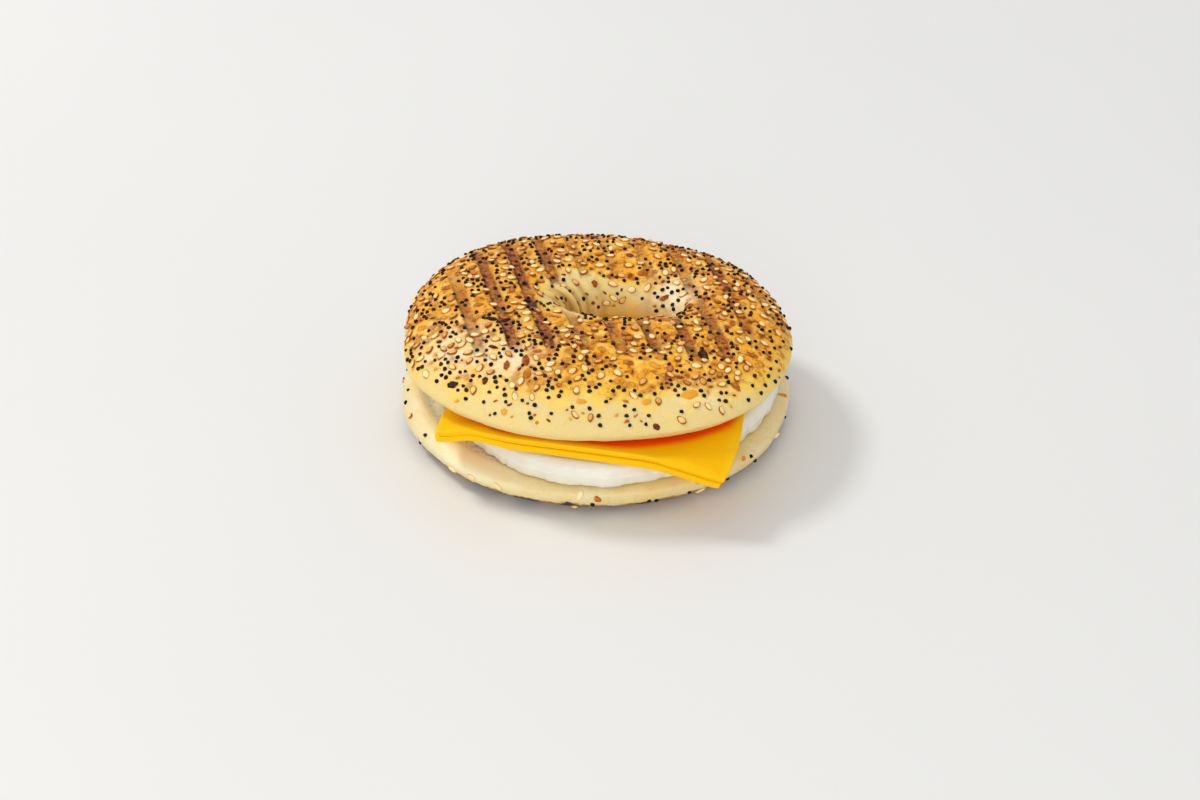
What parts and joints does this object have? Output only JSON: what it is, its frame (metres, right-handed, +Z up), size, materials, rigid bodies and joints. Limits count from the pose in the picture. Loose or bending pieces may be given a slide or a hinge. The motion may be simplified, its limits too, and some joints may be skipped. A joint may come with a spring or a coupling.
{
  "type": "bagel sandwich",
  "caption": "Round seeded bagel sandwich with pressed grill marks, egg white and draped orange cheese slices between the halves.",
  "frame": {"origin": "middle of the overall box at the flat base that the sandwich rests on", "axes": "+Z up through the layers; -Y towards the front, where the cheese hangs over the egg; +X to the right seen from the front"},
  "size_m": [0.1117, 0.1144, 0.037],
  "materials": {
    "crust_top": "matte",
    "crust_bottom": "matte",
    "egg": "satin",
    "cheese": "satin"
  },
  "bodies": {
    "root": {"bagel_top": "crust_top", "bagel_bottom": "crust_bottom", "egg_white": "egg", "cheese_lower": "cheese", "cheese_upper": "cheese"}
  },
  "joints": []
}
